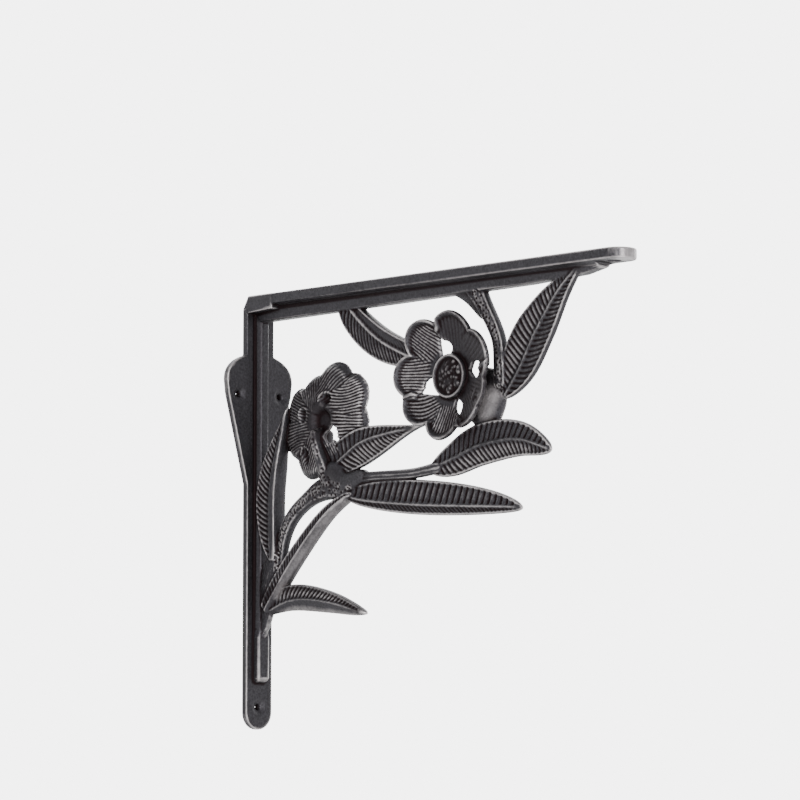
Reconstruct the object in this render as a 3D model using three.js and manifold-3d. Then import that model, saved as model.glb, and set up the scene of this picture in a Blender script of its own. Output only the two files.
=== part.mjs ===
import * as THREE from 'three';
import { mergeVertices } from 'three/addons/utils/BufferGeometryUtils.js';
import Module from 'manifold-3d';

const wasm = await Module();
wasm.setup();

// A cast-iron shelf bracket: a wall strap with two ears, an arm under the shelf, and a spray of
// leaves, stems and two flowers that fills the corner between them.
// Millimetres. X comes out of the wall, Y runs along it and Z is up. While it is being drawn the top
// of the arm is Z 0; at the end the origin moves to the wall face between the two upper screws.

// Wall strap
const strapHeight = 240.5;
const strapWidth = 18.8;
const neckWidth = 20;
const strapThick = 4.1;
const earWidth = 48;
const earShoulder = 33;
const earCorner = 43;
const earFoot = 105;
const screwDrop = 55;
const screwSpread = 30.2;
const lowScrewDrop = 228;
const screwHole = 3.6;
const screwHead = 9.6;
const screwHeadDeep = 1.1;

// Rib down the front of the strap
const ribBaseWidth = 9.4;
const ribFrontWidth = 5.4;
const ribProud = 4;
const ribEnd = 214.6;
const ribStepTop = 185;
const ribStepWidth = 7.4;

// Arm: a flange with a web under it, which runs out into a rounded tongue
const armLength = 283.5;
const flangeWidth = 19;
const flangeThick = 5.7;
const webDeep = 14.5;
const webTipDeep = 12.4;
const webTopWidth = 8;
const webFootWidth = 7;
const webCove = 1.9;
const webTaper = 50;
const webRunOut = 12;
const tongueLength = 19;
const cornerLength = 24;
const cornerDeep = 9.6;
const heelCut = 7;
const shelfScrewHole = 4.5;
const shelfScrewHead = 8.6;
const shelfScrewHeadDeep = 2;
const shelfScrewInset = 12.5;

// Spray. Its points are drawn for the arm and strap sizes below, and stretch with the real ones.
const drawnArm = 283.5;
const drawnStrap = 240.5;
const stemDeep = 8.4;
const veinRise = 0.9;
const bladeSink = 1;
const bladeSwell = 0.7;

// Each leaf: points of its midrib from root to tip, and for each side the greatest half width, its
// place along the leaf and how sharply the side tapers to the root, then to the tip where that differs.
// Lean is how far the veins run to the tip; below zero, the leaf is drawn from its tip.
const leaves = {
  arm: {
    rib: [[74, -5], [85, -18], [105, -33], [134, -46]],
    left: [7.3, 0.72, 0.5], right: [11.3, 0.38, 0.85], thick: 6, veins: 10, lean: -0.1,
  },
  tip: {
    rib: [[195, -70], [207.4, -54.3], [219, -36.4], [234.5, -18.6], [257, -2]],
    left: [15.6, 0.31, 3.2, 2.2], right: [10.9, 0.38, 2.1], thick: 4, veins: 14, lean: 0.12,
  },
  upper: {
    rib: [[140, -103.5], [157.4, -98.8], [178.5, -92.4], [205, -91], [228.5, -97.5]],
    left: [11.4, 0.47, 1.5, 1.15], right: [10.9, 0.44, 1.2, 1], thick: 3.4, veins: 15, lean: 0.08,
  },
  long: {
    rib: [[72, -113], [89, -117.1], [131, -121.3], [187, -124.5], [208, -126]],
    left: [13.2, 0.43, 1.4, 1.1], right: [5.4, 0.48, 1, 0.8], thick: 3.6, veins: 18, lean: 0.03,
  },
  middle: {
    rib: [[58, -103], [74.7, -92.7], [94, -84.7], [142, -79]],
    left: [10.7, 0.13, 1.5], right: [12.6, 0.37, 3.5], thick: 3.6, veins: 11, lean: 0.1,
  },
  slant: {
    rib: [[10, -177], [33, -150], [60, -125], [82, -113]],
    left: [6.4, 0.16, 0.45], right: [4.1, 0.3, 0.55], thick: 7.4, veins: 7, lean: 0.06,
  },
  low: {
    rib: [[7, -178], [33, -170], [62, -171.5], [92, -178]],
    left: [9.8, 0.1, 1, 0.66], right: [6.2, 0.47, 2.2, 1.3], thick: 5, veins: 9, lean: 0.08,
  },
  strap: {
    rib: [[18.4, -150], [16.9, -130], [17.9, -105], [28, -62]],
    left: [11.6, 0.41, 2.2], right: [4.4, 0.32, 0.6, 1.5], thick: 9.4, veins: 12, lean: 0.06,
  },
};

// Each stem: points along it, each with its half width there.
const stems = {
  trunk: [[6, -191, 2], [9, -180, 4.8], [11, -168, 7.5], [15, -155, 8], [20, -141, 5]],
  root: [
    [22, -152, 3.4], [24, -138, 3.6], [31, -125, 4.2],
    [44, -115.5, 4.6], [60, -109.5, 6.5], [80, -112, 5],
  ],
  cup: [[66, -110, 6], [57, -103, 5], [53, -90, 4.8], [50, -76, 5]],
  knuckle: [[58, -106, 4], [65, -102, 7], [76, -107, 5.5], [92, -103.2, 3.4]],
  runner: [[80, -106, 4], [98, -105, 3], [128, -104.6, 2.9], [150, -102, 3.4]],
  hanger: [[171, -6, 7.5], [180, -19, 4.6], [190.5, -37, 3.7], [192.5, -52, 3.9], [192.5, -65, 4.2]],
  gusset: [[158, -6, 6], [170, -14, 4.5], [182, -27, 2.5]],
  flare: [[193.5, -58, 4.6], [186.5, -72, 6], [180, -82, 8], [174, -92, 10]],
  link: [[180, -55, 3.4], [187, -56.5, 3], [194, -58, 3.4]],
  perch: [[157, -57, 5.5], [172, -63, 4.2], [186, -69.5, 5]],
};

// Flowers: four petals of two lobes each. A lobe is its angle, how far it reaches and its radius; a
// window between two petals is its angle, its distance from the centre and its two half widths.
const petalThick = 2.9;
const rimRaise = 1;
const facingFlower = {
  centre: [157.6, -55.4], eye: 11.9, throat: 20, heart: -2, rim: -9.6,
  eyeProfile: [[0, -1.2], [0.7, -0.8], [0.82, -2.2], [0.96, -2.2], [1, -1], [1, 5], [0, 5]],
  lobes: [
    [22, 34.6, 17], [78, 34.4, 16], [130, 36.5, 12.5], [177, 35.8, 12.5],
    [216, 34.6, 12.5], [264, 34, 12.5], [310, 32, 15], [340, 32, 15],
  ],
  windows: [[99, 16.4, 5.2, 4.8], [198, 17.4, 5, 5.4], [292, 17.8, 4.2, 3.2], [6, 19, 4.4, 4.4]],
};
const turnedFlower = {
  centre: [57, -72.5], eye: 7, throat: 20, heart: -3.4, rim: 1.6,
  eyeProfile: [[0, -2.6], [0.6, -2], [1, 0.6], [1, 5.4], [0, 5.4]],
  lobes: [
    [34, 35.2, 13], [72, 33.4, 13], [116, 27, 15], [160, 34.8, 11.5],
    [198, 35, 12.5], [234, 36, 12.5], [276, 32, 12.5], [355, 31.6, 14],
  ],
  windows: [[313, 10.8, 5, 5.2], [90, 15, 4, 3]],
};

// Shapes shared by the parts of the casting

function solid(geometry) {
  for (const name of Object.keys(geometry.attributes)) {
    if (name !== 'position') geometry.deleteAttribute(name);
  }
  const merged = mergeVertices(geometry, 1e-4);
  const corners = merged.getIndex().array;
  const places = merged.getAttribute('position').array;
  const faces = [];
  for (let i = 0; i < corners.length; i += 3) {
    const [a, b, c] = corners.slice(i, i + 3);
    if (a !== b && b !== c && c !== a) faces.push(a, b, c);
  }
  const corner = (k) => new THREE.Vector3().fromArray(places, 3 * k);
  let volume = 0;
  for (let i = 0; i < faces.length; i += 3) {
    volume += corner(faces[i]).dot(corner(faces[i + 1]).cross(corner(faces[i + 2])));
  }
  if (volume < 0) faces.reverse();
  const mesh = new wasm.Mesh({
    numProp: 3,
    vertProperties: Float32Array.from(places),
    triVerts: Uint32Array.from(faces),
  });
  return new wasm.Manifold(mesh);
}

// A closed skin over rings that all have as many points, shut at both ends by a fan.
function skin(rings) {
  const count = rings[0].length;
  const points = rings.flat();
  const faces = [];
  for (let ring = 0; ring + 1 < rings.length; ring++) {
    for (let i = 0; i < count; i++) {
      const a = ring * count + i;
      const b = ring * count + (i + 1) % count;
      faces.push(a, b, b + count, a, b + count, a + count);
    }
  }
  for (const ring of [0, rings.length - 1]) {
    const middle = new THREE.Vector3();
    rings[ring].forEach((point) => middle.addScaledVector(point, 1 / count));
    points.push(middle);
    for (let i = 0; i < count; i++) {
      const a = ring * count + i;
      const b = ring * count + (i + 1) % count;
      faces.push(points.length - 1, ...(ring ? [a, b] : [b, a]));
    }
  }
  const geometry = new THREE.BufferGeometry().setFromPoints(points);
  geometry.setIndex(faces);
  return solid(geometry);
}

// Extrudes an outline drawn in (y, z) along X.
function alongX(shape, from, to) {
  const settings = { depth: to - from, bevelEnabled: false, curveSegments: 10 };
  const geometry = new THREE.ExtrudeGeometry(shape, settings);
  const turn = new THREE.Matrix4().makeBasis(
    new THREE.Vector3(0, 1, 0), new THREE.Vector3(0, 0, 1), new THREE.Vector3(1, 0, 0));
  return solid(geometry.applyMatrix4(turn.setPosition(from, 0, 0)));
}

// Extrudes an outline drawn in (x, y) along Z.
function alongZ(shape, from, to) {
  const settings = { depth: to - from, bevelEnabled: false, curveSegments: 12 };
  const geometry = new THREE.ExtrudeGeometry(shape, settings);
  return solid(geometry.translate(0, 0, from));
}

function onCasting(x, z, y = 0) {
  return new THREE.Vector3(x * armLength / drawnArm, y, z * strapHeight / drawnStrap);
}

// Strap and arm

function earedStrap() {
  const half = strapWidth / 2;
  const outline = new THREE.Shape();
  outline.moveTo(-neckWidth / 2, -heelCut);
  outline.lineTo(neckWidth / 2, -heelCut);
  outline.lineTo(neckWidth / 2, -earShoulder);
  outline.quadraticCurveTo(earWidth / 2, -earShoulder - 4, earWidth / 2, -earCorner - 4);
  outline.lineTo(earWidth / 2 - 1, -screwDrop);
  outline.lineTo(half, -earFoot);
  outline.lineTo(half, half - strapHeight);
  outline.absarc(0, half - strapHeight, half, 0, -Math.PI, true);
  outline.lineTo(-half, -earFoot);
  outline.lineTo(1 - earWidth / 2, -screwDrop);
  outline.lineTo(-earWidth / 2, -earCorner - 4);
  outline.quadraticCurveTo(-earWidth / 2, -earShoulder - 4, -neckWidth / 2, -earShoulder);
  outline.closePath();
  return alongX(outline, 0, strapThick);
}

function ribSection(x, z, baseWidth, frontWidth) {
  return [
    new THREE.Vector3(strapThick - 1, -baseWidth / 2, z),
    new THREE.Vector3(strapThick - 1, baseWidth / 2, z),
    new THREE.Vector3(x, frontWidth / 2, z),
    new THREE.Vector3(x, -frontWidth / 2, z),
  ];
}

function strapRib() {
  const front = strapThick + ribProud;
  return skin([
    ribSection(front, -flangeThick, ribBaseWidth, ribFrontWidth),
    ribSection(front, -ribStepTop, ribBaseWidth, ribFrontWidth),
    ribSection(front, -ribStepTop - 5, ribBaseWidth, ribStepWidth),
    ribSection(front, 3 - ribEnd, ribBaseWidth, ribStepWidth),
    ribSection(front - 1.4, -ribEnd, ribBaseWidth - 1, ribStepWidth - 1),
  ]);
}

function armFlange() {
  const half = flangeWidth / 2;
  const outline = new THREE.Shape();
  outline.moveTo(strapThick, -half);
  outline.lineTo(armLength - half, -half);
  outline.absarc(armLength - half, 0, half, -Math.PI / 2, Math.PI / 2, false);
  outline.lineTo(strapThick, half);
  outline.closePath();
  return alongZ(outline, -flangeThick, 0);
}

function webSection(x, deep) {
  const edges = [
    [flangeWidth / 2, 0.5 - flangeThick], [flangeWidth / 2 - 0.6, -flangeThick],
    [webTopWidth / 2, -flangeThick - webCove], [webFootWidth / 2, -deep],
  ];
  const mirrored = edges.map(([y, z]) => [-y, z]).reverse();
  return [...edges, ...mirrored].map(([y, z]) => new THREE.Vector3(x, y, z));
}

function armWeb() {
  const end = armLength - tongueLength;
  return skin([
    webSection(strapThick - 1, webDeep),
    webSection(end - webTaper, webTipDeep),
    webSection(end - webRunOut, webTipDeep - 1.6),
    webSection(end, flangeThick + webCove + 0.4),
  ]);
}

function cornerBlock() {
  const half = neckWidth / 2;
  const outline = new THREE.Shape();
  outline.moveTo(strapThick, 0);
  outline.lineTo(cornerLength, 0);
  outline.lineTo(cornerLength, 1 - cornerDeep);
  outline.lineTo(strapThick, -cornerDeep);
  outline.lineTo(0, -cornerDeep);
  outline.lineTo(0, -heelCut);
  outline.closePath();
  const geometry = new THREE.ExtrudeGeometry(outline, { depth: 2 * half, bevelEnabled: false });
  geometry.rotateX(Math.PI / 2);
  return solid(geometry.translate(0, half, 0));
}

// A hole through a plate of this thickness, with a countersink at its far end, standing along Y.
function countersunk(hole, head, headDeep, thick) {
  const past = 3;
  const profile = [
    [0, -past], [hole / 2, -past], [hole / 2, thick - headDeep],
    [head / 2, thick], [head / 2, thick + past], [0, thick + past],
  ].map(([r, y]) => new THREE.Vector2(r, y));
  return new THREE.LatheGeometry(profile, 16);
}

function wallScrewHoles() {
  const places = [[screwSpread / 2, -screwDrop], [-screwSpread / 2, -screwDrop], [0, -lowScrewDrop]];
  return places.map(([y, z]) => {
    const cutter = countersunk(screwHole, screwHead, screwHeadDeep, strapThick);
    return solid(cutter.rotateZ(-Math.PI / 2).translate(0, y, z));
  });
}

function shelfScrewCutter() {
  const cutter = countersunk(shelfScrewHole, shelfScrewHead, shelfScrewHeadDeep, flangeThick);
  return solid(cutter.rotateX(-Math.PI / 2).translate(armLength - shelfScrewInset, 0, 0));
}

// Spray

// Half width of one side of a leaf at share t of its length: round for a low taper, slim for a high one.
function sideWidth([widest, place, rootTaper, tipTaper = rootTaper], t) {
  const u = Math.min(Math.max(t, 0.004), 0.996);
  const taper = u < place ? rootTaper : tipTaper;
  return widest * (u / place) ** (place * taper) * ((1 - u) / (1 - place)) ** ((1 - place) * taper);
}

// How far the front of a leaf lies below its edge: the midrib stands up and the veins ride in a hollow.
function sinkAt(across, crest) {
  if (across === 0) return -bladeSwell;
  return Math.abs(across) === 1 ? 0 : bladeSink - crest - bladeSwell / 2;
}

function leafBlade({ rib, left, right, thick, veins, lean }) {
  const spine = new THREE.CatmullRomCurve3(rib.map(([x, z]) => onCasting(x, z)), false, 'catmullrom');
  const columns = [-1, -0.6, 0, 0.6, 1];
  const half = thick / 2;
  const rings = [];
  const rows = 2 * veins;
  for (let row = 0; row <= rows; row++) {
    const t = row / rows;
    const crest = row % 2 ? veinRise : 0;
    const fade = Math.min(1, 6 * t * (1 - t) + 0.15);
    const place = (across, y) => {
      const along = Math.min(1, t + lean * Math.abs(across) * 4 * t * (1 - t));
      const point = spine.getPointAt(along);
      const run = spine.getTangentAt(along);
      const width = across * sideWidth(across < 0 ? right : left, along);
      return new THREE.Vector3(point.x - run.z * width, y, point.z + run.x * width);
    };
    const front = columns.map((across) => {
      return place(across, sinkAt(across, crest) * fade - half);
    });
    const back = [1, 0, -1].map((across) => place(across, half + (across ? 0 : bladeSwell) * fade));
    rings.push([...front, ...back]);
  }
  return skin(rings);
}

function stem(points) {
  const curve = new THREE.CatmullRomCurve3(points.map(([x, z]) => onCasting(x, z)), false, 'catmullrom');
  const sides = 8;
  const steps = 3 * (points.length - 1);
  const rings = [];
  for (let step = 0; step <= steps; step++) {
    const t = step / steps;
    const knot = Math.min(Math.floor(t * (points.length - 1)), points.length - 2);
    const blend = t * (points.length - 1) - knot;
    const wide = points[knot][2] * (1 - blend) + points[knot + 1][2] * blend;
    const deep = Math.min(wide, stemDeep / 2);
    const point = curve.getPoint(t);
    const run = curve.getTangent(t);
    rings.push(Array.from({ length: sides }, (_, i) => {
      const turn = (i + 0.5) * 2 * Math.PI / sides;
      const out = Math.cos(turn) * wide;
      return new THREE.Vector3(point.x - run.z * out, Math.sin(turn) * deep, point.z + run.x * out);
    }));
  }
  return skin(rings);
}

// How far the outline of a flower lies from its centre at an angle: the furthest of its round lobes.
function outlineReach(lobes, angle, least) {
  let reach = least;
  for (const [lobeAngle, furthest, radius] of lobes) {
    const off = angle - THREE.MathUtils.degToRad(lobeAngle);
    const centre = furthest - radius;
    const across = centre * Math.sin(off);
    if (Math.cos(off) > 0 && Math.abs(across) < radius) {
      reach = Math.max(reach, centre * Math.cos(off) + Math.sqrt(radius ** 2 - across ** 2));
    }
  }
  return reach;
}

function blossom({ centre, eye, eyeProfile, throat, heart, rim, lobes, windows }) {
  const middle = onCasting(...centre);
  const around = 48;
  const inner = eye * 0.7;
  // Share of the way from the eye to the edge, how far through the petal, and how much of the raised rim
  const rows = [[0, 0, 0], [0.5, 0, 0], [0.86, 0, 0], [0.95, 0, 1], [1, 0.9, 0], [0.5, 1, 0], [0, 1, 0]];
  const rings = rows.map(([share, through, edge]) => Array.from({ length: around }, (_, i) => {
    const angle = 2 * Math.PI * i / around;
    const reach = inner + share * (outlineReach(lobes, angle, throat) - inner);
    const y = heart + (rim - heart) * share ** 1.4 - edge * rimRaise + through * petalThick;
    return new THREE.Vector3(middle.x + reach * Math.cos(angle), y, middle.z + reach * Math.sin(angle));
  }));
  let petals = skin(rings);
  for (const [angle, away, long, wide] of windows) {
    const outline = new THREE.Shape().absellipse(0, 0, long, wide, 0, 2 * Math.PI);
    const settings = { depth: 2 * neckWidth, bevelEnabled: false, curveSegments: 6 };
    const cutter = new THREE.ExtrudeGeometry(outline, settings);
    cutter.translate(away, 0, -neckWidth).rotateZ(THREE.MathUtils.degToRad(angle)).rotateX(Math.PI / 2);
    petals = petals.subtract(solid(cutter.translate(middle.x, 0, middle.z)));
  }
  const profile = eyeProfile.map(([share, rise]) => new THREE.Vector2(share * eye, heart + rise));
  const button = new THREE.LatheGeometry(profile, 16);
  return petals.add(solid(button.translate(middle.x, 0, middle.z)));
}

// The casting

const bodies = [
  earedStrap(), strapRib(), armFlange(), armWeb(), cornerBlock(),
  ...Object.values(leaves).map(leafBlade),
  ...Object.values(stems).map(stem),
  blossom(facingFlower), blossom(turnedFlower),
];
let casting = bodies.reduce((whole, body) => whole.add(body));
for (const cutter of [...wallScrewHoles(), shelfScrewCutter()]) casting = casting.subtract(cutter);

const cast = casting.getMesh();
const shape = new THREE.BufferGeometry();
shape.setAttribute('position', new THREE.BufferAttribute(cast.vertProperties, 3));
shape.setIndex(new THREE.BufferAttribute(cast.triVerts, 1));
shape.translate(0, 0, screwDrop);

const iron = new THREE.MeshStandardMaterial({ color: 0x3b3a3c, roughness: 0.5, metalness: 0.85 });
const bracketCasting = new THREE.Mesh(shape, iron);
bracketCasting.name = 'bracket_casting';

const bracket = new THREE.Group();
bracket.add(bracketCasting);
export default bracket;
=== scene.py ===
import math
import bmesh
import bpy
import numpy as np
from mathutils import Matrix, Vector, noise


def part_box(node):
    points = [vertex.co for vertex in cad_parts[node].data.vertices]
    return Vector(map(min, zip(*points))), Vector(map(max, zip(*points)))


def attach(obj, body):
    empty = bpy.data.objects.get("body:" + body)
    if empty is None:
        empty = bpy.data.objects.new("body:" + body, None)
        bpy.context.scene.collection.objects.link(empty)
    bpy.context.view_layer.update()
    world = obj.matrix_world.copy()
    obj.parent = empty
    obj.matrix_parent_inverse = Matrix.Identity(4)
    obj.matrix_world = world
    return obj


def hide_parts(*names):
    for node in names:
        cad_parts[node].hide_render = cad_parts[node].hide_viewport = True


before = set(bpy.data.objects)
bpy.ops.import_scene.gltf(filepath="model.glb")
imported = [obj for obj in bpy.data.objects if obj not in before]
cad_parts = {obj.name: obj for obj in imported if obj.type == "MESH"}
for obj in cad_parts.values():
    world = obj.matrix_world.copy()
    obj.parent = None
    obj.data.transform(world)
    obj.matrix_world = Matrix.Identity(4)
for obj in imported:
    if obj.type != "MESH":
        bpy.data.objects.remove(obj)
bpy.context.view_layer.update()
print("frame loaded")

# The bracket is drawn in millimetres, X out of the wall and Z up, with 0 at the arm's top. It is brought
# into the frame at the end: metres, with the origin on the wall face between the two upper screws.
castingLow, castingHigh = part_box("bracket_casting")
milli = 0.001
strap = {
    "width": 18.8, "neck": 20.0, "thick": 4.1, "heelCut": 7.0,
    "earWidth": (castingHigh.y - castingLow.y) / milli,
    "earShoulder": 33.0, "earCorner": 43.0, "earFoot": 105.0,
    "height": (castingHigh.z - castingLow.z) / milli, "screwDrop": castingHigh.z / milli,
    "screwSpread": 30.2, "lowScrewDrop": 228.0, "screwHole": 3.6, "screwHead": 9.6, "headDeep": 1.3,
    "edge": 0.6,
}
rib = {"base": 9.4, "front": 5.0, "proud": 4.0, "end": 214.6, "stepTop": 185.0, "stepWidth": 7.4}
arm = {
    "length": castingHigh.x / milli, "width": 19.0, "thick": 5.7, "webDeep": 14.5, "webTip": 12.4,
    "webTop": 8.0, "webFoot": 7.0, "cove": 1.9, "taper": 50.0, "runOut": 12.0, "tongue": 19.0,
    "corner": 24.0, "cornerDeep": 9.6,
    "screwHole": 4.5, "screwHead": 8.6, "headDeep": 2.0, "screwInset": 12.5,
}


# Curves and surfaces

def smooth(low, high, value):
    t = np.clip((value - low) / (high - low), 0, 1)
    return t * t * (3 - 2 * t)


def curveThrough(points, count=240):
    # A smooth curve through the points, with its running direction, at even steps along it
    p = np.array(points, float)
    p = np.vstack([2 * p[0] - p[1], p, 2 * p[-1] - p[-2]])
    t = np.linspace(0, len(points) - 1, count)
    i = np.minimum(t.astype(int), len(points) - 2)
    w = (t - i)[:, None]
    before, start, end, after = p[i], p[i + 1], p[i + 2], p[i + 3]
    leave, arrive = (end - before) / 2, (after - start) / 2
    curve = (2 * start - 2 * end + leave + arrive) * w**3 \
        + (3 * end - 3 * start - 2 * leave - arrive) * w**2 + leave * w + start
    gone = np.concatenate([[0], np.cumsum(np.linalg.norm(np.diff(curve[:, :2], axis=0), axis=1))])
    even = np.linspace(0, gone[-1], count)
    return np.stack([np.interp(even, gone, curve[:, k]) for k in range(p.shape[1])], 1), gone[-1]


def along(curve, t):
    steps = np.linspace(0, 1, len(curve))
    place = np.stack([np.interp(t, steps, curve[:, k]) for k in range(curve.shape[1])], -1)
    ahead = np.stack([np.interp(np.minimum(t + 0.01, 1), steps, curve[:, k]) for k in range(2)], -1)
    behind = np.stack([np.interp(np.maximum(t - 0.01, 0), steps, curve[:, k]) for k in range(2)], -1)
    run = ahead - behind
    return place, run / np.linalg.norm(run, axis=-1, keepdims=True)


def skin(around, lengthwise, place):
    # Wraps a grid round a shape: place turns shares round and along it into points
    bm = bmesh.new()
    made = bmesh.ops.create_grid(bm, x_segments=around, y_segments=lengthwise, size=1)["verts"]
    shares = np.array([v.co[:2] for v in made]) / 2 + 0.5
    for vert, point in zip(made, place(shares[:, 0], shares[:, 1])):
        vert.co = point
    bmesh.ops.remove_doubles(bm, verts=bm.verts, dist=0.002)
    bmesh.ops.recalc_face_normals(bm, faces=bm.faces)
    return bm


def loft(sections, steps=4):
    # Sections are rings of as many corners each; the ends are shut at their middles
    rings = np.array(sections, float)
    middles = rings.mean(1, keepdims=True).repeat(rings.shape[1], 1)
    rings = np.concatenate([middles[:1], rings, middles[-1:]])
    closed = np.concatenate([rings, rings[:, :1]], 1)
    spans, corners = len(rings) - 1, rings.shape[1]

    def place(u, v):
        a = np.minimum((u * corners + 1e-6).astype(int), corners - 1)
        b = np.minimum((v * spans + 1e-6).astype(int), spans - 1)
        fa, fb = (u * corners - a)[:, None], (v * spans - b)[:, None]
        near = closed[b, a] * (1 - fa) + closed[b, a + 1] * fa
        far = closed[b + 1, a] * (1 - fa) + closed[b + 1, a + 1] * fa
        return near * (1 - fb) + far * fb

    return skin(corners * steps, spans * steps, place)


def slab(outline, direction, edge):
    # A flat outline given a thickness along a direction, with softened edges
    bm = bmesh.new()
    face = bm.faces.new([bm.verts.new(point) for point in outline])
    raised = bmesh.ops.extrude_face_region(bm, geom=[face])["geom"]
    bmesh.ops.translate(bm, verts=[g for g in raised if isinstance(g, bmesh.types.BMVert)], vec=direction)
    bmesh.ops.recalc_face_normals(bm, faces=bm.faces)
    sharp = [e for e in bm.edges if e.calc_face_angle(0) > 0.7]
    bmesh.ops.bevel(bm, geom=sharp, offset=edge, segments=2, profile=0.5, affect="EDGES", material=-1)
    return bm


def cast(casting, bm):
    # Adds a finished form to the casting
    mesh = bpy.data.meshes.new("form")
    bm.to_mesh(mesh)
    bm.free()
    casting.from_mesh(mesh)
    bpy.data.meshes.remove(mesh)


def asObject(bm, name):
    mesh = bpy.data.meshes.new(name)
    bm.to_mesh(mesh)
    bm.free()
    piece = bpy.data.objects.new(name, mesh)
    bpy.context.scene.collection.objects.link(piece)
    return piece


def settled(piece):
    # The piece's mesh with its modifiers made real
    shown = piece.evaluated_get(bpy.context.evaluated_depsgraph_get())
    mesh = bpy.data.meshes.new_from_object(shown)
    piece.modifiers.clear()
    piece.data = mesh
    return mesh


def cutInto(casting, body, cutters):
    # Takes the cutters out of a body and adds what is left to the casting
    piece = asObject(body, "body")
    tools = [asObject(cutter, "cutter") for cutter in cutters]
    for tool in tools:
        cut = piece.modifiers.new("cut", "BOOLEAN")
        cut.operation, cut.solver, cut.object = "DIFFERENCE", "EXACT", tool
    casting.from_mesh(settled(piece))
    for used in [piece] + tools:
        bpy.data.objects.remove(used)


def countersink(at, direction, hole, head, headDeep, thick):
    # A hole through a plate, for a screw whose head lies on the side that direction points to. It narrows
    # to the other side, far below the screw's own size, so that little light comes through.
    past, narrow, wide = 3.0, 0.12 * hole, 0.55 * hole
    radii = [(-past, narrow), (0, narrow), (thick - headDeep, wide), (thick, head / 2),
             (thick + past, head / 2)]
    bm = loft([[(r * math.cos(a), r * math.sin(a), z) for a in np.linspace(0, math.tau, 33)[:-1]]
               for z, r in radii], steps=1)
    turn = Vector((0, 0, 1)).rotation_difference(Vector(direction)).to_matrix()
    bmesh.ops.rotate(bm, verts=bm.verts, matrix=turn)
    bmesh.ops.translate(bm, verts=bm.verts, vec=at)
    return bm


# Strap and arm

def buildStrap(casting):
    half, neck, ear = strap["width"] / 2, strap["neck"] / 2, strap["earWidth"] / 2
    shoulder, corner = strap["earShoulder"], strap["earCorner"]
    turn = np.linspace(0, 1, 7)
    # Right side from the heel down, then the round foot; the left side mirrors it
    side = [(neck, -strap["heelCut"]), (neck, -shoulder)]
    side += [((1 - t)**2 * neck + 2 * t * (1 - t) * ear + t * t * ear,
              -((1 - t)**2 * shoulder + 2 * t * (1 - t) * (shoulder + 4) + t * t * (corner + 4)))
             for t in turn[1:]]
    side += [(ear - 1, -strap["screwDrop"]), (half, -strap["earFoot"])]
    side += [(half * math.cos(a), half - strap["height"] - half * math.sin(a))
             for a in np.linspace(0, math.pi / 2, 8)]
    outline = side + [(-y, z) for y, z in reversed(side[:-1])]
    body = slab([(0, y, z) for y, z in outline], (strap["thick"], 0, 0), strap["edge"])
    spots = [(strap["screwSpread"] / 2, strap["screwDrop"]), (-strap["screwSpread"] / 2, strap["screwDrop"]),
             (0, strap["lowScrewDrop"])]
    holes = [countersink((0, y, -drop), (1, 0, 0), strap["screwHole"], strap["screwHead"], strap["headDeep"],
                         strap["thick"]) for y, drop in spots]
    cutInto(casting, body, holes)


def buildRib(casting):
    back, front = strap["thick"] - 1, strap["thick"] + rib["proud"]

    def section(z, base, face, x):
        return [(back, -base / 2, z), (back, base / 2, z),
                (x - 0.8, face / 2 + 0.5, z), (x, face / 2 - 0.3, z),
                (x, 0.3 - face / 2, z), (x - 0.8, -0.5 - face / 2, z)]

    cast(casting, loft([
        section(-arm["thick"], rib["base"], rib["front"], front),
        section(-rib["stepTop"], rib["base"], rib["front"], front),
        section(-rib["stepTop"] - 5, rib["base"] + 0.4, rib["stepWidth"], front),
        section(2.4 - rib["end"], rib["base"] + 0.4, rib["stepWidth"], front),
        section(0.8 - rib["end"], rib["base"] - 0.4, rib["stepWidth"] - 1.2, front - 0.8),
        section(-rib["end"], rib["base"] - 2, rib["stepWidth"] - 3, front - 2.2),
    ]))


def buildArm(casting):
    half, end = arm["width"] / 2, arm["length"] - arm["width"] / 2
    tip = [(end + half * math.sin(a), -half * math.cos(a)) for a in np.linspace(0, math.pi, 41)]
    outline = [(strap["thick"] - 1, -half)] + tip + [(strap["thick"] - 1, half)]
    flange = slab([(x, y, -arm["thick"]) for x, y in outline], (0, 0, arm["thick"]), 0.8)
    screw = countersink((arm["length"] - arm["screwInset"], 0, 0), (0, 0, -1), arm["screwHole"],
                        arm["screwHead"], arm["headDeep"], arm["thick"])
    cutInto(casting, flange, [screw])

    def section(x, deep):
        under, webTop, webFoot = -arm["thick"], arm["webTop"] / 2, arm["webFoot"] / 2
        side = [(half - 0.6, under + 1), (half - 1.2, under - 0.1), (half - 3, under - 0.5),
                (webTop + 0.6, under - arm["cove"] + 0.5), (webTop, under - arm["cove"] - 0.6),
                (webFoot, -deep + 0.7), (webFoot - 0.7, -deep)]
        return [(x, y, z) for y, z in side] + [(x, -y, z) for y, z in reversed(side)]

    stop = arm["length"] - arm["tongue"]
    cast(casting, loft([
        section(strap["thick"] - 1, arm["webDeep"]),
        section(stop - arm["taper"], arm["webTip"]),
        section(stop - arm["runOut"], arm["webTip"] - 1.6),
        section(stop, arm["thick"] + arm["cove"] + 0.9),
    ], steps=3))
    neck = strap["neck"] / 2 - 0.25
    profile = [(strap["thick"], 0), (arm["corner"], 0), (arm["corner"], 1 - arm["cornerDeep"]),
               (strap["thick"], -arm["cornerDeep"]), (0, -arm["cornerDeep"]), (0, -strap["heelCut"])]
    block = slab([(x, -neck, z) for x, z in profile], (0, 2 * neck, 0), 0.5)
    cast(casting, block)


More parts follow.
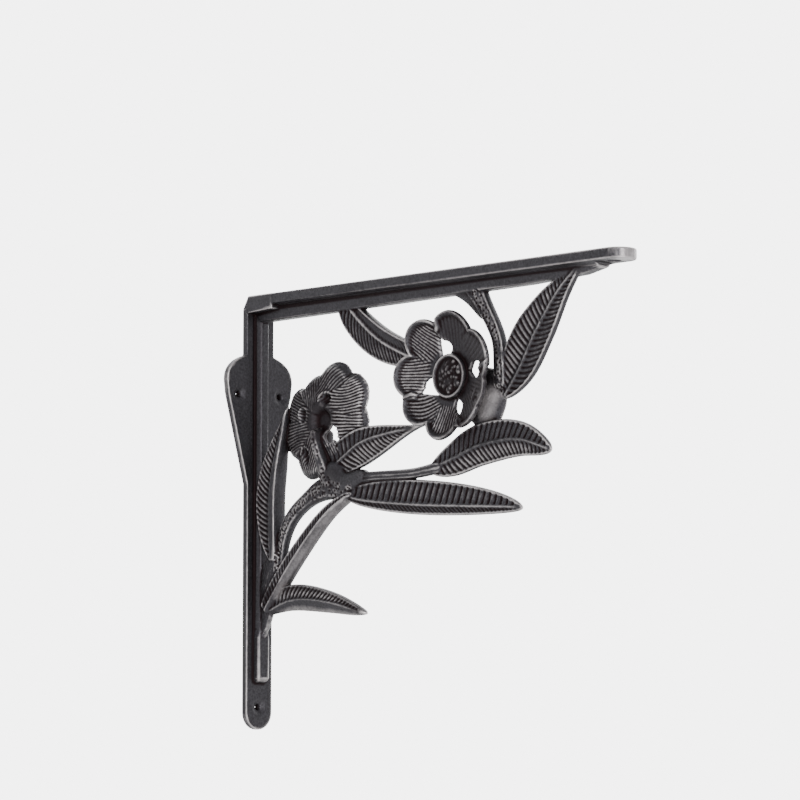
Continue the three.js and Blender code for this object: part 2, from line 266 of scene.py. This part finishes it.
# Leaves: points of the midrib from root to tip. Each side has its greatest half width, where along the
# leaf that is, how sharply it tapers to the root and to the tip, and its veins: how many, how far they
# lean to the tip, how high. A side without veins is a plain bevel, as deep as the leaf's bevel says. Lift
# brings a tip forward, and thinning is the share of its thickness that a leaf loses by its tip.

leaves = {
    "arm": {
        "rib": [(74, -5), (85, -18), (105, -33), (134, -46)], "thick": 6.0,
        "left": (7.3, 0.72, 0.5, 0.5, 26, -0.22, 0.45), "right": (11.3, 0.38, 0.85, 0.85, 24, 0.16, 0.8),
    },
    "tip": {
        "rib": [(195, -70), (207.4, -54.3), (219, -36.4), (234.5, -18.6), (257, -2)],
        "left": (15.6, 0.31, 3.2, 2.2, 32, 0.045, 0.8), "right": (10.9, 0.38, 2.1, 2.1, 30, 0.1, 0.7),
        "thick": 4.0, "lift": 2.6,
    },
    "upper": {
        "rib": [(140, -103.5), (157.4, -98.8), (178.5, -92.4), (205, -91), (228.5, -97.5)], "thick": 3.4,
        "left": (11.4, 0.47, 1.5, 1.15, 25, 0.055, 0.9), "right": (10.9, 0.44, 1.2, 1.0, 28, 0.09, 0.8),
    },
    "long": {
        "rib": [(72, -113), (89, -117.1), (131, -121.3), (187, -124.5), (208, -126)], "thick": 3.6,
        "left": (13.2, 0.43, 1.4, 1.1, 31, 0.03, 1.0), "right": (5.4, 0.48, 1.0, 0.8, 44, 0.06, 0.5),
    },
    "middle": {
        "rib": [(58, -103), (74.7, -92.7), (94, -84.7), (142, -79)], "thick": 3.6,
        "left": (10.7, 0.13, 1.5, 1.5, 26, 0.04, 0.7), "right": (12.6, 0.37, 3.5, 3.5, 28, 0.12, 1.0),
    },
    "slant": {
        "rib": [(10, -177), (33, -150), (60, -125), (82, -113)], "thick": 7.4, "bevel": 2.4,
        "left": (6.4, 0.2, 1.7, 0.45, 34, 0.06, 0.7), "right": (4.1, 0.3, 0.55, 0.55, 0, 0, 0),
    },
    "low": {
        "rib": [(7, -178), (33, -170), (62, -171.5), (92, -178)], "thick": 5.0, "bevel": 2.2,
        "left": (9.8, 0.1, 1.0, 0.66, 30, 0.08, 0.8), "right": (6.2, 0.47, 2.2, 1.3, 0, 0, 0),
    },
    "strap": {
        "rib": [(18.4, -150), (16.9, -130), (17.9, -105), (28, -62)], "thick": 9.4, "thinning": 0.55,
        "left": (11.6, 0.41, 2.2, 2.2, 32, 0.07, 0.95), "right": (4.4, 0.32, 0.6, 1.5, 0, 0, 0),
    },
}
blade = {"sink": 1.1, "midrib": 0.3, "edge": 0.22, "edgeRound": 1.1, "backRelief": 0.55}


def bladeWidth(side, t):
    widest, place, rootTaper, tipTaper = side[:4]
    u = np.clip(t, 0.004, 0.996)
    taper = np.where(u < place, rootTaper, tipTaper)
    return widest * (u / place)**(place * taper) * ((1 - u) / (1 - place))**((1 - place) * taper)


def bladeRelief(leaf, across, t):
    # How far the blade lies below its raised edge: hollow beside the midrib, ribbed by its veins
    size, relief = np.abs(across), np.zeros_like(across)
    for name, chosen in (("left", across >= 0), ("right", across < 0)):
        side = leaf[name]
        veins, lean, rise = side[4:]
        width = bladeWidth(side, t)
        hollow = smooth(0.4, 2.0, (1 - size) * width) * smooth(0.3, 1.5, size * width)
        phase = math.tau * veins * (t - lean * size**1.4 * 4 * t * (1 - t))
        crest = 1 - (0.5 - 0.5 * np.cos(phase))**1.6
        midrib = blade["midrib"] * np.exp(-(size * width / 0.75)**2) * smooth(1.5, 4, width)
        edge = blade["edge"] * np.exp(-(((1 - size) * width - 0.9) / 0.55)**2) * smooth(2, 4, width)
        ribbed = hollow * (blade["sink"] - rise * crest) - midrib - edge
        relief = np.where(chosen, ribbed if veins else leaf.get("bevel", 0) * size**1.3, relief)
    return relief


def buildLeaf(casting, leaf):
    spine, length = curveThrough(leaf["rib"])
    half = leaf["thick"] / 2

    def place(u, v):
        turn = math.tau * u - math.pi / 2
        front = u <= 0.5
        across = np.where(front, np.sin(turn), np.sin(math.pi - turn))
        width = np.where(across >= 0, bladeWidth(leaf["left"], v), bladeWidth(leaf["right"], v))
        at, run = along(spine, v)
        inside = np.clip((1 - np.abs(across)) * width / blade["edgeRound"], 0, 1)
        body = half * np.sqrt(1 - (1 - inside)**2) * np.clip(30 * np.minimum(v, 1 - v), 0, 1)**0.5
        body *= 1 - leaf.get("thinning", 0) * smooth(0.55, 1, v)
        relief = bladeRelief(leaf, across, v) * np.where(front, 1, blade["backRelief"])
        y = np.where(front, -1, 1) * (body - relief * np.clip(body / half, 0, 1))
        y -= leaf.get("lift", 0) * smooth(0.5, 1, v)
        return np.stack([at[:, 0] - run[:, 1] * width * across, y, at[:, 1] + run[:, 0] * width * across], 1)

    cast(casting, skin(96, int(length * 3), place))


# Stems: points along them, each with its half width, and their half depth at the root and at the tip.
# Pitted ones have a pebbled channel between two rails, grooved ones have fibres along them. Lean tips a
# stem's left side forward or, below zero, back, and most of all at its middle.

stems = {
    "trunk": {
        "path": [(6, -191, 2), (9, -180, 4.8), (11, -168, 7.5), (15, -155, 8), (20, -141, 5)],
        "deep": (2, 4.4), "grooves": 9,
    },
    "root": {
        "path": [(22, -152, 3.4), (24, -138, 3.6), (31, -125, 4.2), (44, -115.5, 4.6), (60, -109.5, 6.5),
                 (80, -112, 5)],
        "deep": (3.4, 4.2), "pits": 1,
    },
    "cup": {
        "path": [(66, -110, 6), (61, -103.5, 4.8), (58.5, -96, 3.9), (55.5, -86, 3.3), (55, -76, 2.8)],
        "deep": (4.4, 9.4), "pits": 1,
    },
    "knuckle": {
        "path": [(58, -106, 4), (65, -102, 7), (76, -107, 5.5), (92, -103.2, 3.4)], "deep": (4.4, 4.4),
    },
    "runner": {
        "path": [(80, -106, 4), (98, -105, 3), (128, -104.6, 2.9), (150, -102, 3.4)],
        "deep": (3, 3), "grooves": 3,
    },
    "hanger": {
        "path": [(171, -6, 7.5), (180, -19, 4.6), (190.5, -37, 3.7), (192.5, -52, 3.9), (192.5, -65, 4.2)],
        "deep": (3.8, 3.8), "pits": 1,
    },
    "gusset": {"path": [(158, -6, 6), (170, -14, 4.5), (182, -27, 2.5)], "deep": (3, 2)},
    "flare": {
        "path": [(191, -57, 6), (185.5, -66, 8.5), (181.5, -75, 9), (177.5, -84, 10)],
        "deep": (3, 1.2), "lean": -0.45,
    },
    "link": {"path": [(180, -55, 3.4), (187, -56.5, 3), (194, -58, 3.4)], "deep": (3, 3)},
    "perch": {"path": [(157, -57, 5.5), (172, -63, 4.2), (186, -69.5, 5)], "deep": (2.2, 2.2)},
}
channelDeep, fibreDeep = 0.75, 0.45


def buildStem(casting, stem):
    curve, length = curveThrough(stem["path"])
    root, tip = stem["deep"]
    grooves = stem.get("grooves", 0)

    def place(u, v):
        at, run = along(curve, v)
        shut = np.sqrt(np.clip(1 - (1 - np.minimum(v, 1 - v) * length / 4)**2, 0, 1))
        shut = np.where(np.minimum(v, 1 - v) * length > 4, 1, shut)
        wide = at[:, 2] * shut
        deep = (root + (tip - root) * v) * shut
        round = np.cos(math.tau * u)
        channel = stem.get("pits", 0) * channelDeep * (1 - smooth(0.5, 0.78, np.abs(round - 0.08))) * shut
        if grooves:
            channel = fibreDeep * (0.5 + 0.5 * np.cos(math.pi * grooves * round + 5 * v)) * shut
        out = round * wide
        y = np.sign(np.sin(math.tau * u)) * (np.abs(np.sin(math.tau * u))**0.75 * deep - channel)
        y -= stem.get("lean", 0) * out * (1 - (2 * v - 1)**2)
        return np.stack([at[:, 0] - run[:, 1] * out, y, at[:, 1] + run[:, 0] * out], 1)

    cast(casting, skin(72, max(12, int(length * 1.5)), place))


# Flowers: the outline runs round the furthest lobe, given by angle, reach and radius. A petal runs between
# two edges, each a list of distances from the centre and angles there; where neighbours' edges part, a
# window opens. Its fine lines run parallel in two fans, each by the direction they run in. The turned
# flower has a deep throat and rolled rims. Its pockets are hollows, by their places and two half widths.
# Grime and painted shade lie round the places given, each with its reach and amount.

flowers = {
    "facing": {
        "centre": (157.6, -55.4), "eye": 11.9, "throat": 20, "heart": -2.0, "rim": -9.6, "thick": 2.9,
        "lobes": [(22, 34.6, 17), (78, 34.4, 16), (130, 36.5, 12.5), (177, 35.8, 12.5),
                  (216, 34.6, 12.5), (264, 34, 12.5), (310, 32, 15), (340, 32, 15)],
        "petals": [
            {"from": [(8, 8), (14.6, 8), (15.6, 14), (18.5, 20.5), (22.4, 17), (24.8, 6), (36, 5)],
             "to": [(8, 104), (12, 98), (13.5, 90), (15.2, 87), (18, 93), (20.5, 106), (22, 110), (30, 102),
                    (37, 100)],
             "fans": (30, 80), "pitch": 2.4, "lines": 0.22},
            {"from": [(8, 132), (12.6, 124), (16, 117), (21, 110), (24, 106), (30, 99), (37, 97)],
             "to": [(8, 176), (13, 179), (16, 180.5), (18, 184), (19.6, 190), (20.8, 198), (22, 202),
                    (37, 200)],
             "fans": (140, 178), "pitch": 1.75, "lines": 0.75},
            {"from": [(8, 240), (12, 226), (13.4, 221.5), (16, 213), (19.6, 204), (24, 199), (29, 197),
                      (37, 196)],
             "to": [(8, 286), (12.6, 290), (14, 284), (17, 282), (20, 284.5), (22.5, 292), (36, 297)],
             "fans": (189, 262), "pitch": 1.9, "lines": 0.8},
            {"from": [(8, 280), (12.6, 286), (14, 294), (17, 299), (20, 296.5), (22.3, 289), (36, 292)],
             "to": [(8, 372), (13.5, 372), (15.2, 362), (18.5, 353), (22.4, 358), (24.8, 369), (36, 371)],
             "fans": (300, 345), "pitch": 2.0, "lines": 0.25},
        ],
        "turned": 0, "pockets": [],
        # Grime in the heart; painted shade over the petals on the hanger's side
        "grime_and_shade": [(157.6, -55.4, 13, 0.9), (166, -80, 14, 0.9), (176, -60, 22, 0.75), (172, -34, 22, 0.55)],
    },
    "turned": {
        "centre": (57.0, -72.5), "eye": 6.2, "throat": 20, "heart": -3.4, "rim": 1.6, "thick": 2.9,
        "lobes": [(34, 35.2, 13), (72, 33.4, 13), (116, 27, 15), (160, 35.4, 11.5), (198, 36.6, 12.5),
                  (234, 36, 12.5), (276, 32, 12.5), (355, 31.6, 14)],
        "petals": [
            {"from": [(4, -15), (8, -18), (12, -22), (16, -38), (18, -46), (36, -49)],
             "to": [(4, 80), (15, 72), (22, 52), (36, 46)],
             "fans": (-4, 4), "pitch": 1.75, "lines": 1.15},
            {"from": [(4, 76), (15, 68), (22, 49), (36, 43)], "to": [(4, 150), (15, 146), (36, 136)],
             "fans": (38, 100), "pitch": 1.9, "lines": 0.55},
            {"from": [(4, 146), (15, 142), (36, 133)], "to": [(4, 222), (36, 217)],
             "fans": (160, 186), "pitch": 1.7, "lines": 0.7},
            {"from": [(4, 218), (36, 213)],
             "to": [(4, 312), (8, 287), (12, 287), (16, 303), (18, 314), (36, 318)],
             "fans": (235, 300), "pitch": 1.8, "lines": 0.7},
        ],
        "turned": 1, "grime_and_shade": [(57, -73, 15, 0.9), (40, -88, 14, 0.5), (52, -50, 12, 0.5)],
        "pockets": [(60.5, -60.6, 4.4, 3.0), (41.5, -68.2, 3.6, 3.2), (42.2, -90.4, 3.4, 3.8)],
    },
}


petalForm = {
    "pocketDeep": 2.6, "pocketLip": 0.8, "throatDeep": 5.5, "rollDeep": 2.6, "hollowDeep": 0.9,
    "edgeDrop": 0.5, "rimHigh": 0.5, "cleftDeep": 0.6,
}


def lobedReach(flower, angle):
    reach = np.full_like(angle, flower["throat"])
    for lobeAngle, furthest, radius in flower["lobes"]:
        off = angle - math.radians(lobeAngle)
        across = (furthest - radius) * np.sin(off)
        met = (np.cos(off) > 0) & (np.abs(across) < radius)
        edge = (furthest - radius) * np.cos(off) + np.sqrt(np.clip(radius**2 - across**2, 0, None))
        reach = np.where(met, np.maximum(reach, edge), reach)
    return reach


def evenEdge(edge):
    # A petal's side edge, rounded: distances from the centre, and the angle at each
    away = np.arange(0, 44, 0.2)
    distances, degrees = np.array(edge, float).T
    angles = np.interp(away, distances, np.radians(degrees))
    weights = np.hanning(21) / np.hanning(21).sum()
    return away, np.convolve(np.pad(angles, 10, "edge"), weights, "valid")


def buildPetal(casting, flower, petal):
    cx, cz = flower["centre"]
    inner, turned = flower["eye"] * 0.7, flower["turned"]
    first, last = evenEdge(petal["from"]), evenEdge(petal["to"])

    def place(u, v):
        turn = math.tau * u - math.pi / 2
        front = u <= 0.5
        s = np.where(front, np.sin(turn), np.sin(math.pi - turn))
        share = 0.5 + s / 2

        def between(away):
            start, stop = np.interp(away, *first), np.interp(away, *last)
            return start, stop, start + share * (stop - start)

        away = inner + (1 - (1 - v)**1.3) * 20
        for _ in range(4):
            start, stop, angle = between(away)
            outline = lobedReach(flower, angle)
            away = inner + (1 - (1 - v)**1.3) * (outline - inner)
        outward = (away - inner) / (34 - inner)
        toSide = np.minimum(angle - start, stop - angle) * away
        inFrom = np.minimum((outline - away) * 0.95, toSide)
        x, z = away * np.cos(angle), away * np.sin(angle)
        level = flower["heart"] + (flower["rim"] - flower["heart"]) * np.clip(outward, 0, 1.3)**1.4
        level += (0.55 - 1.1 * share) * smooth(0.3, 0.7, outward)
        for px, pz, wide, high in flower["pockets"]:
            below = np.where(z + cz < pz, 1.7, 1)
            gone = np.hypot((x + cx - px) / wide, (z + cz - pz) / (high * below))
            level += petalForm["pocketDeep"] * (1 - smooth(0.3, 1.05, gone))
            over = smooth(-0.5, 1.5, z + cz - pz - 0.4 * (x + cx - px))
            level -= petalForm["pocketLip"] * np.exp(-((gone - 1.2) / 0.14)**2) * over
        level += petalForm["throatDeep"] * turned * (1 - smooth(2.5, 9.5, away))
        rimWide = 0.7 + (0.2 if turned else 1.3) * smooth(20, 25, away)
        fromRim = np.minimum((outline - away) * 0.95, toSide + 6 * (1 - smooth(21, 26, away)))
        hollow = smooth(rimWide, rimWide + 1.5, fromRim)
        lobe = smooth(0.44, 0.56, share)
        relief = 0
        for fan, weight in zip(petal["fans"], (1 - lobe, lobe)):
            run = math.radians(fan)
            across = z * math.cos(run) - x * math.sin(run)
            bent = across * (1 + 0.10 * np.sin(0.21 * (x * math.cos(run) + z * math.sin(run)) + fan))
            relief = relief + weight * (0.5 + 0.5 * np.cos(math.tau * bent / petal["pitch"]))**1.6
        relief = relief * petal["lines"] * hollow * smooth(1.5, 6, away - flower["eye"])
        if turned:
            fromOutline = (outline - away) * 0.95
            roll = smooth(0.55, 0.8, outward) * (1 - smooth(0.5, 4.5, fromOutline))
            plain = smooth(0.2, 0.9, 1 - smooth(1.2, 3.6, fromOutline)) * smooth(0.5, 0.8, outward)
            relief = relief * (1 - plain)
            near = relief + petalForm["rollDeep"] * roll
        else:
            rim = smooth(0.2, 0.9, fromRim) * (1 - hollow)
            drop = 1 - smooth(0, 1, inFrom)
            cleft = np.exp(-((share - 0.5) / 0.035)**2) * smooth(0.4, 0.8, outward) * hollow
            near = relief + petalForm["hollowDeep"] * hollow + petalForm["edgeDrop"] * drop
            near = near - petalForm["rimHigh"] * rim + petalForm["cleftDeep"] * cleft
        body = flower["thick"] / 2 * np.sqrt(np.clip(1 - (1 - np.clip(inFrom / 1.2, 0, 1))**2, 0, 1))
        y = np.where(front, level - body + near, level + body + 0.4 * near) + flower["thick"] / 2
        return np.stack([x + cx, y, z + cz], 1)

    cast(casting, skin(420, 90, place))


def buildEye(casting, flower):
    cx, cz = flower["centre"]
    eye, heart = flower["eye"], flower["heart"]
    if flower["turned"]:
        profile = [(0, 4.6), (0.5, 4.4), (1, 3.8), (1, 5.4), (0.8, 5.6), (0.5, 5.9), (0, 6.0)]
    else:
        profile = [(0, -2.6), (0.4, -2.3), (0.7, -1.4), (0.8, -1.2), (0.85, -2.2), (0.9, -2.7), (0.96, -2.4),
                   (1, -1.2), (0.98, 5.0), (0.6, 5.6), (0, 5.6)]

    def ring(share, rise):
        radius = max(share * eye, 1e-4)
        return [(cx + radius * math.cos(a), heart + rise, cz + radius * math.sin(a))
                for a in np.linspace(0, math.tau, 49)[:-1]]

    cast(casting, loft([ring(share, rise) for share, rise in profile], steps=2))
    if flower["turned"]:
        return
    # Seeds of uneven size in a spiral, larger to the right
    seeds, count = bmesh.new(), 42
    for k in range(1, count + 1):
        away, angle = 0.74 * eye * math.sqrt(k / count), k * math.radians(137.5) + 0.35 * math.sin(4.1 * k)
        x, z = away * math.cos(angle), away * math.sin(angle)
        size = 0.98 + 0.42 * math.sin(2.3 * k) + 0.045 * x
        at = Matrix.Translation((cx + x, heart - 2.5 + 0.016 * away**2 - 0.04 * x, cz + z))
        bmesh.ops.create_uvsphere(seeds, u_segments=10, v_segments=8, radius=size, matrix=at)
    cast(casting, seeds)


# The casting is one piece of iron: every form runs into its neighbours

casting = bmesh.new()
buildStrap(casting)
buildRib(casting)
buildArm(casting)
print("strap and arm built")
for leaf in leaves.values():
    buildLeaf(casting, leaf)
for stem in stems.values():
    buildStem(casting, stem)
print("leaves and stems built")
for flower in flowers.values():
    for petal in flower["petals"]:
        buildPetal(casting, flower, petal)
    buildEye(casting, flower)
print("flowers built", len(casting.faces))

finish = {
    "grain": 0.37, "soften": 2, "pitSize": 1.9, "pitDeep": 0.5,
    "faces": 190000,
}
bracket = asObject(casting, "foliate_bracket")
fuse = bracket.modifiers.new("fuse", "REMESH")
fuse.mode, fuse.voxel_size, fuse.adaptivity = "VOXEL", finish["grain"], 0
mesh = settled(bracket)
print("fused into one skin", len(mesh.polygons))


def readPoints(mesh):
    points = np.empty(3 * len(mesh.vertices))
    mesh.vertices.foreach_get("co", points)
    return points.reshape(-1, 3)


def readNormals(mesh):
    normals = np.empty(3 * len(mesh.vertices))
    mesh.vertices.foreach_get("normal", normals)
    return normals.reshape(-1, 3)


ends = np.empty(2 * len(mesh.edges), int)
mesh.edges.foreach_get("vertices", ends)
ends = ends.reshape(-1, 2)
degree = np.bincount(ends.ravel(), minlength=len(mesh.vertices))


def neighbourMean(values):
    # Mean of each point's neighbours along the edges
    values = values.reshape(len(degree), -1)
    total = np.stack([np.bincount(ends[:, 0], column[ends[:, 1]], len(degree))
                      + np.bincount(ends[:, 1], column[ends[:, 0]], len(degree)) for column in values.T], 1)
    return total / degree[:, None]


points = readPoints(mesh)
for _ in range(finish["soften"]):
    points += 0.45 * (neighbourMean(points) - points)
mesh.vertices.foreach_set("co", points.ravel())
mesh.update()

# Pebbled skin on the stems: how far each point lies inside a pitted stem
normals = readNormals(mesh)
pitted = np.zeros(len(points))
for stem in stems.values():
    if stem.get("pits"):
        near = np.abs(points[:, 1]) < stem["deep"][1] + 0.2
        for x, z, wide in curveThrough(stem["path"], 60)[0]:
            away = np.hypot(points[:, 0] - x, points[:, 2] - z)
            below = near & (z < -arm["webDeep"])
            pitted = np.maximum(pitted, below * stem["pits"] * (1 - smooth(0.55 * wide, 0.8 * wide, away)))
for i in np.flatnonzero(pitted > 0.02):
    cell = noise.voronoi(Vector(points[i]) / finish["pitSize"])[0]
    pit = 1 - min(1, cell[0] / 0.5)**2
    pitted[i] *= finish["pitDeep"] * pit
points -= normals * pitted[:, None]
half = strap["earWidth"] / 2
points = np.clip(points, (0, -half, -strap["height"]), (arm["length"], half, 0))
mesh.vertices.foreach_set("co", points.ravel())
mesh.update()

# Wear on what stands proud of its surroundings and dirt in the hollows, measured in millimetres
normals = readNormals(mesh)
around, proud = points.copy(), []
for rounds in (4, 14):
    for _ in range(rounds):
        around = neighbourMean(around)
    proud.append(((points - around) * normals).sum(1))
fine, broad = proud


def keep(name, values):
    layer = mesh.attributes.new(name, "FLOAT", "POINT")
    layer.data.foreach_set("value", np.clip(values, 0, 1).astype(np.float32))


def spread(values, x, z, reach, core, amount):
    # Raises the values round a place: in full within the core's share of the reach
    away = np.hypot(points[:, 0] - x, points[:, 2] - z)
    return np.maximum(values, amount * (1 - smooth(core * reach, reach, away)))


# Bands of painted shade in the creases between leaves and stems, then bands of painted highlight where faces
# catch the light: points along each, its reach to the sides and its amount
painted_shade_bands = [
    ([(12, -167), (33, -162), (62, -164), (86, -174)], 5, 0.8),
    ([(52, -112), (60, -106), (70, -104)], 8, 0.5),
]
painted_highlight_bands = [
    ([(187, -67), (184.5, -71), (182, -76)], 7, 0.45),
    ([(279, -3), (282, -3)], 8, 0.6),
    ([(24, -177), (36, -175), (62, -177), (88, -180.5)], 3.2, 0.5),
    ([(21, -167), (34.5, -151.6), (61.5, -126.5), (76, -117)], 3.2, 0.3),
]
grime_and_painted_shade, painted_highlight = np.zeros(len(points)), np.zeros(len(points))
for path, reach, amount in painted_shade_bands:
    for x, z in curveThrough(path, 24)[0]:
        grime_and_painted_shade = spread(grime_and_painted_shade, x, z, reach, 0.5, amount)
for flower in flowers.values():
    for x, z, reach, amount in flower["grime_and_shade"]:
        grime_and_painted_shade = spread(grime_and_painted_shade, x, z, reach, 0.55, amount)
# Painted highlights: lighter bands on the flare, the arm's tip and the bevels of the lower leaves, where the
# light catches them
for path, reach, amount in painted_highlight_bands:
    for x, z in curveThrough(path, 24)[0]:
        painted_highlight = spread(painted_highlight, x, z, reach, 0.3, amount * (np.abs(points[:, 1]) < 6))
# Wear on proud edges, less under grime and painted shade, plus the painted highlights
keep("wear_and_highlight", (smooth(0.03, 0.12, fine) * 0.75 + smooth(0.16, 0.5, broad) * 0.4) * (1 - 0.75 * grime_and_painted_shade) + painted_highlight)
# Dirt in the hollows and grime, plus the painted shade
keep("dirt_and_shade", smooth(0.01, 0.08, -fine) * 0.4 + smooth(0.02, 0.22, -broad) * 0.7 + 0.45 * grime_and_painted_shade)

# Fewer faces on the flats, but not in the strips along their edges, which keep wear off their middles
strips = bracket.vertex_groups.new(name="strips")
plain = (points[:, 0] < strap["thick"] + rib["proud"] + 0.2) | (points[:, 2] > -arm["webTip"])
beside = plain & (np.abs(fine) < 0.008) & (np.abs(broad) > 0.012) & (np.abs(broad) < 0.045)
strips.add(np.flatnonzero(beside).tolist(), 1, "REPLACE")
thin = bracket.modifiers.new("thin", "DECIMATE")
thin.ratio = finish["faces"] / (2 * len(mesh.polygons))
thin.vertex_group, thin.invert_vertex_group, thin.vertex_group_factor = strips.name, True, 0.003
mesh = settled(bracket)
mesh.transform(Matrix.Translation((0, 0, castingHigh.z)) @ Matrix.Scale(milli, 4))
mesh.shade_smooth()
flats = bracket.modifiers.new("flats", "WEIGHTED_NORMAL")
flats.mode, flats.weight = "FACE_AREA", 60
print("surface finished", len(mesh.polygons))


# Iron

class Socket:
    # A node's output that adds maths nodes when it is used in an expression
    def __init__(self, iron, out):
        self.iron, self.out = iron, out

    def maths(self, operation, first, second):
        return self.iron.node("ShaderNodeMath", {"operation": operation}, {0: first, 1: second})

    def __add__(self, other): return self.maths("ADD", self, other)
    def __radd__(self, other): return self.maths("ADD", other, self)
    def __sub__(self, other): return self.maths("SUBTRACT", self, other)
    def __rsub__(self, other): return self.maths("SUBTRACT", other, self)
    def __mul__(self, other): return self.maths("MULTIPLY", self, other)
    def __rmul__(self, other): return self.maths("MULTIPLY", other, self)


class Finish:
    def __init__(self, block, shader):
        block.use_nodes = True
        self.block, self.tree = block, block.node_tree
        self.shader = self.tree.nodes[shader]

    def feed(self, socket, value):
        if isinstance(value, Socket):
            self.tree.links.new(value.out, socket)
        else:
            socket.default_value = value

    def node(self, kind, settings, inputs, output=0):
        made = self.tree.nodes.new(kind)
        for key, value in settings.items():
            setattr(made, key, value)
        for key, value in inputs.items():
            self.feed(made.inputs[key], value)
        return Socket(self, made.outputs[output])


def buildIron():
    iron = Finish(bpy.data.materials.new("burnished_iron"), "Principled BSDF")
    place = iron.node("ShaderNodeTexCoord", {}, {}, "Object")
    wear_and_highlight = iron.node("ShaderNodeAttribute", {"attribute_name": "wear_and_highlight"}, {}, "Fac")
    dirt_and_shade = iron.node("ShaderNodeAttribute", {"attribute_name": "dirt_and_shade"}, {}, "Fac")
    cloud = iron.node("ShaderNodeTexNoise", {}, {"Vector": place, "Scale": 55.0, "Detail": 5.0})
    grain = iron.node("ShaderNodeTexNoise", {}, {"Vector": place, "Scale": 900.0, "Detail": 4.0})
    speck = iron.node("ShaderNodeTexNoise", {}, {"Vector": place, "Scale": 2600.0, "Detail": 2.0})
    patch = iron.node("ShaderNodeTexNoise", {}, {"Vector": place, "Scale": 210.0, "Detail": 3.0})
    clamp = {"clamp": True}
    # Lighter iron where it is worn, and where highlights are painted on
    worn_and_lit = wear_and_highlight * (0.35 + 1.3 * patch) + cloud * 0.2 + grain * 0.2 - 0.28
    wear_and_highlight_share = iron.node("ShaderNodeMapRange", clamp, {"Value": worn_and_lit, "From Min": 0.0, "From Max": 0.9})
    # Darker iron where dirt lies in the hollows, and where shade is painted in the creases and on shaded
    # petals
    dirt_and_shade_level = dirt_and_shade + cloud * 0.4 - 0.2
    dirt_and_shade_share = iron.node("ShaderNodeMapRange", clamp, {"Value": dirt_and_shade_level, "From Min": 0.0, "From Max": 0.85})
    colour = {"data_type": "RGBA"}
    mottled = cloud * 0.5 + grain * 1.3 - 0.42
    body = iron.node("ShaderNodeMix", colour,
                     {0: mottled, 6: (0.017, 0.0155, 0.017, 1), 7: (0.058, 0.056, 0.062, 1)}, 2)
    dark = iron.node("ShaderNodeMix", colour, {0: dirt_and_shade_share, 6: body, 7: (0.0085, 0.0042, 0.0048, 1)}, 2)
    bright = iron.node("ShaderNodeMix", colour, {0: wear_and_highlight_share, 6: dark, 7: (0.34, 0.32, 0.32, 1)}, 2)
    iron.feed(iron.shader.inputs["Base Color"], bright)
    iron.feed(iron.shader.inputs["Metallic"], 0.92)
    iron.feed(iron.shader.inputs["Roughness"], 0.36 + 0.22 * grain - 0.08 * wear_and_highlight_share + 0.16 * dirt_and_shade_share)
    rough = iron.node("ShaderNodeBump", {},
                      {"Height": grain + 0.5 * speck, "Strength": 0.5, "Distance": 0.00028})
    iron.feed(iron.shader.inputs["Normal"], rough)
    return iron.block


bracket.data.materials.clear()
bracket.data.materials.append(buildIron())
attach(bracket, "root")
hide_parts("bracket_casting")
print("iron laid on")


# Camera, floor and light

view = {"azimuth": 46.43, "elevation": -5.23, "lens": 140.4, "at": (1.3132, -1.1379, -0.1612)}
camera = bpy.data.objects.new("camera", bpy.data.cameras.new("camera"))
bpy.context.scene.collection.objects.link(camera)
camera.location = view["at"]
camera.rotation_euler = (math.radians(90 - view["elevation"]), 0, math.radians(view["azimuth"]))
camera.data.lens = view["lens"]
camera.data.sensor_width = 36
bpy.context.scene.camera = camera

studio = {"floorDrop": 0.62, "floorSize": 6.0, "world": 5.5}
bm = bmesh.new()
bmesh.ops.create_grid(bm, x_segments=1, y_segments=1, size=studio["floorSize"])
bmesh.ops.translate(bm, verts=bm.verts, vec=(0, 0, -studio["floorDrop"]))
floor = asObject(bm, "floor")
paper = Finish(bpy.data.materials.new("pale_floor"), "Principled BSDF")
paper.feed(paper.shader.inputs["Base Color"], (0.86, 0.86, 0.855, 1))
paper.feed(paper.shader.inputs["Roughness"], 0.9)
floor.data.materials.append(paper.block)

# A white sweep behind the bracket, and a dim room before it
room = Finish(bpy.data.worlds.new("studio"), "Background")
towards = room.node("ShaderNodeTexCoord", {}, {}, "Generated")
before = room.node("ShaderNodeVectorMath", {"operation": "DOT_PRODUCT"},
                   {0: towards, 1: (0.69, -0.72, 0)}, "Value")
dim = room.node("ShaderNodeMapRange", {"interpolation_type": "SMOOTHSTEP"},
                {"Value": before, "From Min": -0.9, "From Max": -0.1})
shade = room.node("ShaderNodeMix", {"data_type": "RGBA"},
                  {0: dim, 6: (1, 1, 1, 1), 7: (0.19, 0.19, 0.195, 1)}, 2)
room.feed(room.shader.inputs["Color"], shade)
room.feed(room.shader.inputs["Strength"], studio["world"])
bpy.context.scene.world = room.block

lights = [
    {"name": "front", "at": (1.45, -1.0, 0.35), "size": 0.4, "power": 22},
    {"name": "low", "at": (1.25, -0.55, -0.75), "size": 0.6, "power": 32},
    {"name": "high", "at": (0.2, -1.2, 0.9), "size": 0.6, "power": 5},
]
aim = Vector((0.13, 0, -0.03))
for light in lights:
    lamp = bpy.data.objects.new(light["name"], bpy.data.lights.new(light["name"], "AREA"))
    bpy.context.scene.collection.objects.link(lamp)
    lamp.location = light["at"]
    lamp.rotation_euler = (aim - lamp.location).to_track_quat("-Z", "Y").to_euler()
    lamp.data.size, lamp.data.energy = light["size"], light["power"]
print("studio lit")
